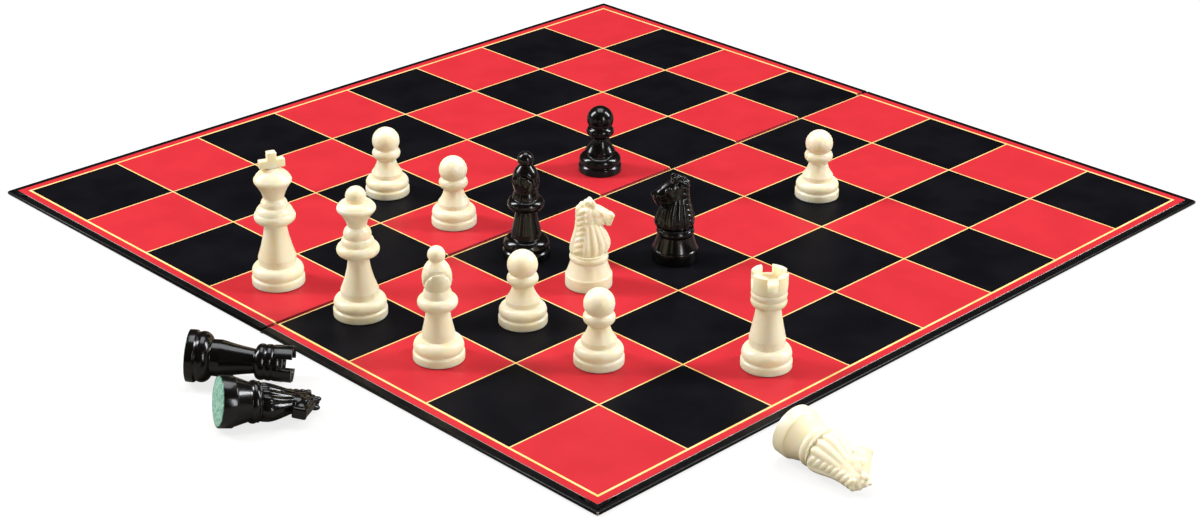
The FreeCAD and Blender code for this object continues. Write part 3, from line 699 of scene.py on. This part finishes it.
def add_cross(bm):
    top = height_of(bm)
    cross = bmesh.new()
    foot, tip = top - CROSS_SEAT, top + ARM_RISE + ARM_HEIGHT + POST_RISE
    bmesh.ops.create_cube(cross, size=1, matrix=Matrix.Translation((0, 0, (foot + tip) / 2))
                          @ Matrix.Diagonal((POST_WIDTH, CROSS_THICKNESS, tip - foot, 1)))
    arm_low, arm_high = top + ARM_RISE, top + ARM_RISE + ARM_HEIGHT
    cut_along(cross, (arm_low, arm_high), Vector((0, 0, 1)))
    for way in (1, -1):
        side = next(face for face in cross.faces if face.normal.x * way > SIDEWAYS
                    and arm_low < face.calc_center_median().z < arm_high)
        drawn = bmesh.ops.extrude_face_region(cross, geom=[side])
        bmesh.ops.translate(cross, verts=pulled_verts(drawn), vec=(way * (ARM_SPAN - POST_WIDTH) / 2, 0, 0))
        bmesh.ops.delete(cross, geom=[side], context="FACES_ONLY")
    sharp = [edge for edge in cross.edges if edge.is_manifold and edge.calc_face_angle() > SHARP]
    soften(cross, sharp, CROSS_ROUND, CROSS_SEGMENTS)
    join_into(bm, cross)


king = lathe("king")
add_cross(king)
print("the king with its cross is", round(height_of(king), 1), "mm tall")
king.free()

# %% [markdown]
# Notches in the rook's crown and the slanting slot in the bishop's mitre are cuts. Bisecting and bridging could
# make them, but a Boolean modifier does it in one step and keeps the turned surface around the cut untouched.

# %% Cuts
NOTCH_WIDTH, NOTCH_DEPTH = 4.4, 3.8
SLOT_WIDTH, SLOT_SLOPE = 0.9, 63.0
SLOT_ROOT, SLOT_ROOT_DROP = 2.4, 16.4
CUTTER_REACH = 4


def baked(piece):
    """A new bmesh with the piece's modifiers applied; the piece itself is removed."""
    shape = piece.evaluated_get(bpy.context.evaluated_depsgraph_get())
    bm = bmesh.new()
    bm.from_mesh(shape.to_mesh())
    shape.to_mesh_clear()
    mesh = piece.data
    bpy.data.objects.remove(piece)
    bpy.data.meshes.remove(mesh)
    return bm


def carve(bm, cutter):
    """Cut one closed shell out of another with a Boolean modifier, and return what is left."""
    body = finish_piece("carved", bm)
    tool = finish_piece("cutter", cutter)
    boolean = body.modifiers.new("cut", "BOOLEAN")
    boolean.object = tool
    boolean.operation = "DIFFERENCE"
    boolean.solver = "EXACT"
    result = baked(body)
    bpy.data.objects.remove(tool)
    return result


def cut_notches(bm):
    top = height_of(bm)
    size = (CUTTER_REACH * NOTCH_WIDTH, NOTCH_WIDTH, 2 * NOTCH_DEPTH, 1)
    for angle in (0, math.pi / 2):
        cutter = bmesh.new()
        bmesh.ops.create_cube(cutter, size=1, matrix=Matrix.Translation((0, 0, top))
                              @ Matrix.Rotation(angle, 4, "Z") @ Matrix.Diagonal(size))
        bm = carve(bm, cutter)
    return bm


def cut_slot(bm):
    """Cut with a slab that starts at the slot's root and slopes up and out of the mitre."""
    root = Matrix.Translation((SLOT_ROOT, 0, height_of(bm) - SLOT_ROOT_DROP))
    tilt = Matrix.Rotation(-math.radians(SLOT_SLOPE), 4, "Y")
    length = CUTTER_REACH * SLOT_ROOT_DROP
    slab = Matrix.Diagonal((length, length, SLOT_WIDTH, 1)) @ Matrix.Translation((0.5, 0, 0.5))
    cutter = bmesh.new()
    bmesh.ops.create_cube(cutter, size=1, matrix=root @ tilt @ slab)
    return carve(bm, cutter)


rook = cut_notches(lathe("rook"))
print("a rook's crown has", len(rook.faces), "faces after its notches")
rook.free()

# %% [markdown]
# ## Knights
# A knight is a turned base with a horse on it, and no lathe makes a horse. It is built as a modeller would with
# clay: a neck and a head skinned over rows of ellipses, with lumps pressed on for everything that stands out.
# Sculpting by hand would do as well, but could not be repeated from a script.

# %% Clay
CLAY_SEGMENTS = 32
LUMP_DETAIL = 3


def ring_matrix(middle, half_length, half_width, lean=0.0):
    """Places a unit circle as an ellipse, leaning about Y, in the horse's own frame."""
    return (Matrix.Translation(middle) @ Matrix.Rotation(math.radians(lean), 4, "Y")
            @ Matrix.Diagonal((half_length, half_width, 1, 1)))


def skin_rings(bm, rings):
    """Skin a row of ellipses with bridge_loops and close both ends."""
    loops = []
    for ring in rings:
        ends = ring in (rings[0], rings[-1])
        made = bmesh.ops.create_circle(bm, segments=CLAY_SEGMENTS, radius=1, cap_ends=ends, matrix=ring)
        loops.append(list({edge for vert in made["verts"] for edge in vert.link_edges}))
    for first, second in zip(loops, loops[1:]):
        bmesh.ops.bridge_loops(bm, edges=first + second)


def press_lump(bm, middle, turn, radii):
    """Press a turned ellipsoid of clay on."""
    bmesh.ops.create_icosphere(bm, subdivisions=LUMP_DETAIL, radius=1,
                               matrix=Matrix.Translation(middle) @ turn @ Matrix.Diagonal((*radii, 1)))


def leaning(angle):
    return Matrix.Rotation(math.radians(angle), 4, "Y")


print("clay ready")

# %% [markdown]
# The neck is a pile of level ellipses: the height of each, how far its middle is moved forward, and half its
# length and width. The head is a row of ellipses that lean forward: the place of each along and above the neck,
# and half its height and width. The muzzle points along +X.

# %% Neck and head
NECK_RINGS = [
    (-0.2, 0.0, 7.5, 6.3), (1.2, 0.0, 8.4, 6.5), (3.4, 0.3, 8.8, 6.4), (6.4, 0.3, 8.1, 5.7),
    (9.6, 0.1, 6.8, 4.8), (13.0, -0.3, 5.5, 4.2), (17.0, -0.9, 4.5, 3.9), (21.0, -1.7, 3.5, 3.3),
    (23.0, -1.9, 2.4, 2.3),
]
HEAD_RINGS = [
    (-1.4, 20.0, 4.0, 3.2), (1.4, 18.5, 4.4, 3.8), (4.4, 17.0, 4.0, 3.6), (7.0, 15.9, 3.5, 3.1),
    (9.0, 15.0, 3.1, 2.7),
]
HEAD_LEAN = 114.0


def press_neck_and_head(bm):
    skin_rings(bm, [ring_matrix((middle, 0, up), length, width) for up, middle, length, width in NECK_RINGS])
    skin_rings(bm, [ring_matrix((ahead, 0, up), high, wide, HEAD_LEAN) for ahead, up, high, wide in HEAD_RINGS])


def ring_at(level):
    """The neck's ring at a height, between the two that are listed around it."""
    for low, high in zip(NECK_RINGS, NECK_RINGS[1:]):
        if level <= high[0]:
            break
    return Vector(low).lerp(Vector(high), (level - low[0]) / (high[0] - low[0]))


print("the neck has", len(NECK_RINGS), "rings and the head", len(HEAD_RINGS))

# %% [markdown]
# Wide lobes rise from the plinth around the breast and close up under the jaw. Each is a skinned row of circles
# that follows the neck's surface, and how proud of it they stand changes with the height.

# %% Lobes of the breast
LOBE_ANGLES = (0, 42, 66, 90, 114, -42, -66, -90, -114)
LOBE_LEVELS = [(-0.2, 0.4), (1.2, 0.8), (3.4, 1.0), (6.4, 1.0), (9.6, 0.9), (13.0, 0.5), (16.0, -0.4)]
LOBE_SHARE = 0.25
BREAST_SHARE = 0.5


def press_lobes(bm):
    for angle in LOBE_ANGLES:
        turn = math.radians(angle)
        share = LOBE_SHARE if angle else BREAST_SHARE
        rings = []
        for level, proud in LOBE_LEVELS:
            up, middle, length, width = ring_at(level)
            radius = share * (length + width) / 2
            inset = radius - proud
            place = (middle + (length - inset) * math.cos(turn), (width - inset) * math.sin(turn), up)
            rings.append(ring_matrix(place, radius, radius))
        skin_rings(bm, rings)


print("lobes:", len(LOBE_ANGLES))

# %% [markdown]
# The mane is a ridge down the back of the neck, with slanting tufts on both of its sides and a bumpy crest
# between the ears.

# %% Mane
SPINE_LEVELS = (0.2, 2.8, 6.4, 9.6, 13.0, 17.0, 20.5, 22.8)
SPINE_SINK = 0.9
SPINE_HALF_LENGTH, SPINE_HALF_WIDTH = 1.5, 1.7
CREST = [(-4.6, 21.4), (-3.0, 23.0), (-0.9, 23.9)]
CREST_RADII = (1.6, 1.8, 1.5)
TUFT_LEVELS = (2.8, 5.3, 7.8, 10.3, 12.8, 15.3, 17.8, 20.2)
TUFT_TURN = math.radians(146)
TUFT_SLOPE = math.radians(35)
TUFT_RADII = (1.35, 1.35, 3.0)
TUFT_DEPTH = 0.87


def press_tuft(bm, level, side):
    """A long lump on the neck's surface that slopes down along it."""
    up, middle, length, width = ring_at(level)
    place = (middle + TUFT_DEPTH * length * math.cos(TUFT_TURN),
             side * TUFT_DEPTH * width * math.sin(TUFT_TURN), up)
    along = Vector((-length * math.sin(TUFT_TURN), side * width * math.cos(TUFT_TURN), 0)).normalized()
    along = along * math.cos(TUFT_SLOPE) - Vector((0, 0, math.sin(TUFT_SLOPE)))
    press_lump(bm, place, along.to_track_quat("Z", "Y").to_matrix().to_4x4(), TUFT_RADII)


def press_mane(bm):
    spine = []
    for level in SPINE_LEVELS:
        up, middle, length, width = ring_at(level)
        spine.append(ring_matrix((middle - length + SPINE_SINK, 0, up), SPINE_HALF_LENGTH, SPINE_HALF_WIDTH))
    skin_rings(bm, spine)
    for ahead, up in CREST:
        press_lump(bm, (ahead, 0, up), leaning(0), CREST_RADII)
    for level in TUFT_LEVELS:
        for side in (1, -1):
            press_tuft(bm, level, side)


print("mane:", 2 * len(TUFT_LEVELS), "tufts")

# %% [markdown]
# The face is a blunt block for the muzzle, a ridge along the forehead, and a few pairs of lumps: where each is,
# its radii and how far it leans.

# %% Face
MUZZLE_PLACE = (8.3, 0, 15.2)
MUZZLE_SIZE = (4.6, 4.9, 6.0)
MUZZLE_LEAN = 24
MUZZLE_ROUND = 0.7
MUZZLE_SEGMENTS = 2
FOREHEAD_PLACE, FOREHEAD_RADII, FOREHEAD_LEAN = (5.6, 0, 20.1), (4.9, 1.0, 0.9), 35
PAIRS = {
    "cheek": ((2.3, 1.5, 15.7), (3.8, 2.5, 4.0), 0),
    "brow": ((4.7, 3.0, 19.4), (1.6, 0.7, 0.55), 28),
    "eye": ((4.8, 3.2, 18.4), (0.85, 0.6, 0.7), 0),
    "nostril": ((9.9, 1.9, 16.2), (0.8, 0.75, 0.75), 0),
    "ear": ((1.0, 1.9, 23.4), (1.35, 1.15, 2.1), -12),
}


def press_face(bm):
    muzzle = bmesh.ops.create_cube(bm, size=1, matrix=Matrix.Translation(MUZZLE_PLACE) @ leaning(MUZZLE_LEAN)
                                   @ Matrix.Diagonal((*MUZZLE_SIZE, 1)))
    muzzle_edges = list({edge for vert in muzzle["verts"] for edge in vert.link_edges})
    soften(bm, muzzle_edges, MUZZLE_ROUND, MUZZLE_SEGMENTS)
    press_lump(bm, FOREHEAD_PLACE, leaning(FOREHEAD_LEAN), FOREHEAD_RADII)
    for side in (1, -1):
        for (ahead, beside, up), radii, lean in PAIRS.values():
            press_lump(bm, (ahead, side * beside, up), leaning(lean), radii)


print("face:", sorted(PAIRS))

# %% [markdown]
# So far the horse is many shells inside one another. A voxel remesh melts them into one skin, a few strokes of
# smoothing take the voxels' steps away, and the horse is set a little into the plinth of its base.

# %% One skin
PLINTH = 15.9
HORSE_SEAT = 0.6
VOXEL = 0.3
SMOOTH_STROKES = 3
SMOOTH_SHARE = 0.5


def melt(bm):
    clay = finish_piece("clay", bm)
    rounder = clay.modifiers.new("round", "SUBSURF")
    rounder.levels = rounder.render_levels = 1
    remesh = clay.modifiers.new("melt", "REMESH")
    remesh.mode = "VOXEL"
    remesh.voxel_size = VOXEL
    skin = baked(clay)
    for _ in range(SMOOTH_STROKES):
        bmesh.ops.smooth_vert(skin, verts=skin.verts, factor=SMOOTH_SHARE, use_axis_x=True, use_axis_y=True,
                              use_axis_z=True)
    bmesh.ops.translate(skin, verts=skin.verts, vec=(0, 0, PLINTH - HORSE_SEAT))
    return skin


def make_knight():
    clay = bmesh.new()
    for press in (press_neck_and_head, press_lobes, press_mane, press_face):
        press(clay)
    bm = lathe("knight")
    join_into(bm, melt(clay))
    return bm


knight = make_knight()
print("a knight is", round(height_of(knight), 1), "mm tall, in", len(knight.faces), "faces")
knight.free()

# %% [markdown]
# ## Setting out the men
# The felt under a man tells where the man stands: the middle of its box, less half its thickness, is the middle
# of the base. Men that stand only turn about Z. The three that lie on the table also roll about their own axis
# and tip over, with the head dipping until it touches. The angles are the heading, the roll and the dip.

# %% Places and turns
STANDING = {
    "ivory_king": ("king", 70), "ivory_queen": ("queen", 0), "ivory_bishop": ("bishop", -35),
    "ivory_knight": ("knight", 65), "ivory_rook": ("rook", -38), "ivory_pawn_1": ("pawn", 0),
    "ivory_pawn_2": ("pawn", 0), "ivory_pawn_3": ("pawn", 0), "ivory_pawn_4": ("pawn", 0),
    "ivory_pawn_5": ("pawn", 0), "black_pawn": ("pawn", 0), "black_bishop": ("bishop", -60),
    "black_knight": ("knight", 240),
}
LYING = {
    "black_rook": ("rook", 43.7, -24, 4.42),
    "black_knight_lying": ("knight", 65.7, -90, 10.98),
    "ivory_knight_lying": ("knight", -4.0, 125, 8.32),
}


def turn_of(man):
    """A man's kind, and how it is turned."""
    if man in STANDING:
        kind, heading = STANDING[man]
        return kind, Matrix.Rotation(math.radians(heading), 4, "Z")
    kind, heading, roll, dip = LYING[man]
    return kind, (Matrix.Rotation(math.radians(heading), 4, "Z")
                  @ Matrix.Rotation(math.radians(90 + dip), 4, "Y")
                  @ Matrix.Rotation(math.radians(roll), 4, "Z"))


def place_of(man, turn):
    """Where the middle of a man's base is, read from its felt."""
    low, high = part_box(f"{man}_felt")
    half_felt = turn.to_3x3() @ Vector((0, 0, FELT / 2)) * MM
    return Matrix.Translation((low + high) / 2 - half_felt) @ turn @ TO_METRES


print("standing:", len(STANDING), "lying:", len(LYING))

# %% [markdown]
# A disc of felt is turned on the same lathe as the men. It ends just short of what the man stands on, as the
# nap of real felt gives way there.

# %% Men and felts
FELT_CLEARANCE = 0.15
FELT_ROUND = 0.2
PAD_LIFT = 0.02


def make_man(kind):
    if kind == "knight":
        return make_knight()
    bm = lathe(kind)
    if kind == "king":
        add_cross(bm)
    if kind == "rook":
        return cut_notches(bm)
    return cut_slot(bm) if kind == "bishop" else bm


def make_felt(kind):
    radius = BASES[kind][0] - FELT_RIM - FELT_CLEARANCE
    bm = bmesh.new()
    low_edge = straight(bm, new_pen(bm, 0, PAD_LIFT), radius, PAD_LIFT)
    high_edge = straight(bm, low_edge, radius, FELT)
    straight(bm, high_edge, 0, FELT)
    return turn_on_lathe(bm, [low_edge, high_edge], FELT_ROUND)


print("felts are", round(FELT - PAD_LIFT, 2), "mm thick")

# %% [markdown]
# Each kind of man is made once, and every man of that kind is a copy that is moved to its place. The plastic
# and the felt are two pieces on the same body, so they lift together.

# %% The set
PLASTICS = {"ivory": ivory_plastic, "black": black_plastic}

blanks = {}
for man in (*STANDING, *LYING):
    kind, turn = turn_of(man)
    place = place_of(man, turn)
    colour = man.split("_")[0]
    if kind not in blanks:
        blanks[kind] = make_man(kind)
    bm = blanks[kind].copy()
    bmesh.ops.transform(bm, matrix=place, verts=bm.verts)
    moulding = finish_piece(f"{man}_moulding", bm, PLASTICS[colour])
    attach(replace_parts(moulding, man), man)
    bm = make_felt(kind)
    bmesh.ops.transform(bm, matrix=place, verts=bm.verts)
    pad = finish_piece(f"{man}_pad", bm, green_felt)
    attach(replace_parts(pad, f"{man}_felt"), man)
    print(man, len(moulding.data.polygons), "faces")

# %% [markdown]
# ## Stage, light and camera
# The set lies on a plain white table under soft boxes. The table looks white to the camera because most of what
# the camera sees of it is a plain white glow; the rest is ordinary white paint, which keeps the soft shadows.
# The glow is left out for all other rays, so it lights nothing and the black men stay black. To those rays the
# paint is a sandy grey as well, so that men lying on the table aren't flooded with light from below.

# %% Table
TABLE_HALF = 3.0
TABLE_DROP = 0.0003
SHADOW_SHARE = 0.22
PAINT_SEEN = (0.9, 0.9, 0.9, 1)
PAINT_IN_BOUNCES = (0.24, 0.225, 0.20, 1)
PAINT_ROUGHNESS, PAINT_SHINE = 0.9, 0.1

bm = bmesh.new()
bmesh.ops.create_grid(bm, x_segments=1, y_segments=1, size=TABLE_HALF,
                      matrix=Matrix.Translation((0, 0, -TABLE_DROP)))
white_paint = bpy.data.materials.new("white_table")
white_paint.use_nodes = True
tree = white_paint.node_tree
paint = tree.nodes["Principled BSDF"]
paint.inputs["Roughness"].default_value = PAINT_ROUGHNESS
paint.inputs["Specular IOR Level"].default_value = PAINT_SHINE
coat = add_node(tree, "ShaderNodeMix", data_type="RGBA")
coat.inputs["A"].default_value = PAINT_IN_BOUNCES
coat.inputs["B"].default_value = PAINT_SEEN
glow = add_node(tree, "ShaderNodeEmission")
glow.inputs["Strength"].default_value = 1.0
rays = add_node(tree, "ShaderNodeLightPath")
seen = add_node(tree, "ShaderNodeMath", operation="MAXIMUM")
share = add_node(tree, "ShaderNodeMath", operation="MULTIPLY")
share.inputs[1].default_value = 1 - SHADOW_SHARE
mixed = add_node(tree, "ShaderNodeMixShader")
wire(tree,
     (rays.outputs["Is Camera Ray"], seen.inputs[0]),
     (rays.outputs["Is Transmission Ray"], seen.inputs[1]),
     (seen.outputs[0], coat.inputs["Factor"]),
     (coat.outputs["Result"], paint.inputs["Base Color"]),
     (seen.outputs[0], share.inputs[0]),
     (share.outputs[0], mixed.inputs["Fac"]),
     (paint.outputs["BSDF"], mixed.inputs[1]),
     (glow.outputs["Emission"], mixed.inputs[2]),
     (mixed.outputs["Shader"], tree.nodes["Material Output"].inputs["Surface"]))
table = finish_piece("table", bm, white_paint)
print("table:", table.name)

# %% [markdown]
# A box above and three upright strips light the set, all turned to its middle. Strips leave long, narrow glints
# on turned work. Each lamp has its place, its width and height, in metres, and its power.

# %% Lamps
LAMP_COLOUR = (0.95, 0.97, 1.0)
LAMPS = {
    "overhead_box": ((-0.2, 0.2, 1.4), 0.9, 0.9, 11.0),
    "left_strip": ((-0.95, -0.78, 0.92), 0.35, 1.0, 22.5),
    "right_strip": ((0.80, 0.95, 0.92), 0.3, 1.0, 20.5),
    "front_strip": ((1.35, -0.30, 0.45), 0.2, 0.6, 5.0),
}

for name, (place, width, height, power) in LAMPS.items():
    lamp = bpy.data.lights.new(name, "AREA")
    lamp.shape = "RECTANGLE"
    lamp.size, lamp.size_y = width, height
    lamp.energy = power
    lamp.color = LAMP_COLOUR
    box = bpy.data.objects.new(name, lamp)
    box.location = place
    box.rotation_euler = (-Vector(place)).to_track_quat("-Z", "Y").to_euler()
    scene.collection.objects.link(box)
print("lamps:", list(LAMPS))

# %% [markdown]
# The room around the lamps is a warm, dim fill, which is what makes the shaded sides of the ivory tan. Polished
# black would show it as grey, so shiny things see still less of it.

# %% Room
FILL = 0.28
FILL_IN_GLOSS = 0.03
FILL_COLOUR = (1.0, 0.79, 0.50, 1)

world = bpy.data.worlds.new("studio")
scene.world = world
world.use_nodes = True
tree = world.node_tree
room = tree.nodes["Background"]
room.inputs["Color"].default_value = FILL_COLOUR
rays = add_node(tree, "ShaderNodeLightPath")
fill = add_node(tree, "ShaderNodeMapRange")
fill.inputs["To Min"].default_value = FILL
fill.inputs["To Max"].default_value = FILL_IN_GLOSS
wire(tree,
     (rays.outputs["Is Glossy Ray"], fill.inputs["Value"]),
     (fill.outputs["Result"], room.inputs["Strength"]))
print("room:", world.name)

# %% [markdown]
# The camera looks down on one corner of the board from some way off. Its place, its axes and its lens come from
# how the corners of the squares line up in the picture. It is placed by its axes, with no target to track.

# %% Camera
CAMERA_PLACE = Vector((0.67893, -0.67655, 0.42396))
CAMERA_RIGHT = Vector((0.70334, 0.71082, 0.00650))
CAMERA_FORWARD = Vector((-0.63997, 0.63716, -0.42949))
LENS = 66.07
SENSOR = 36.0

lens = bpy.data.cameras.new("camera")
lens.lens = LENS
lens.sensor_width = SENSOR
lens.sensor_fit = "HORIZONTAL"
camera = bpy.data.objects.new("camera", lens)
back = -CAMERA_FORWARD.normalized()
right = CAMERA_RIGHT.normalized()
upward = back.cross(right)
camera.matrix_world = Matrix.Translation(CAMERA_PLACE) @ Matrix((right, upward, back)).transposed().to_4x4()
scene.collection.objects.link(camera)
scene.camera = camera
scene.view_settings.view_transform = "Standard"
print("camera at", [round(value, 3) for value in camera.location])
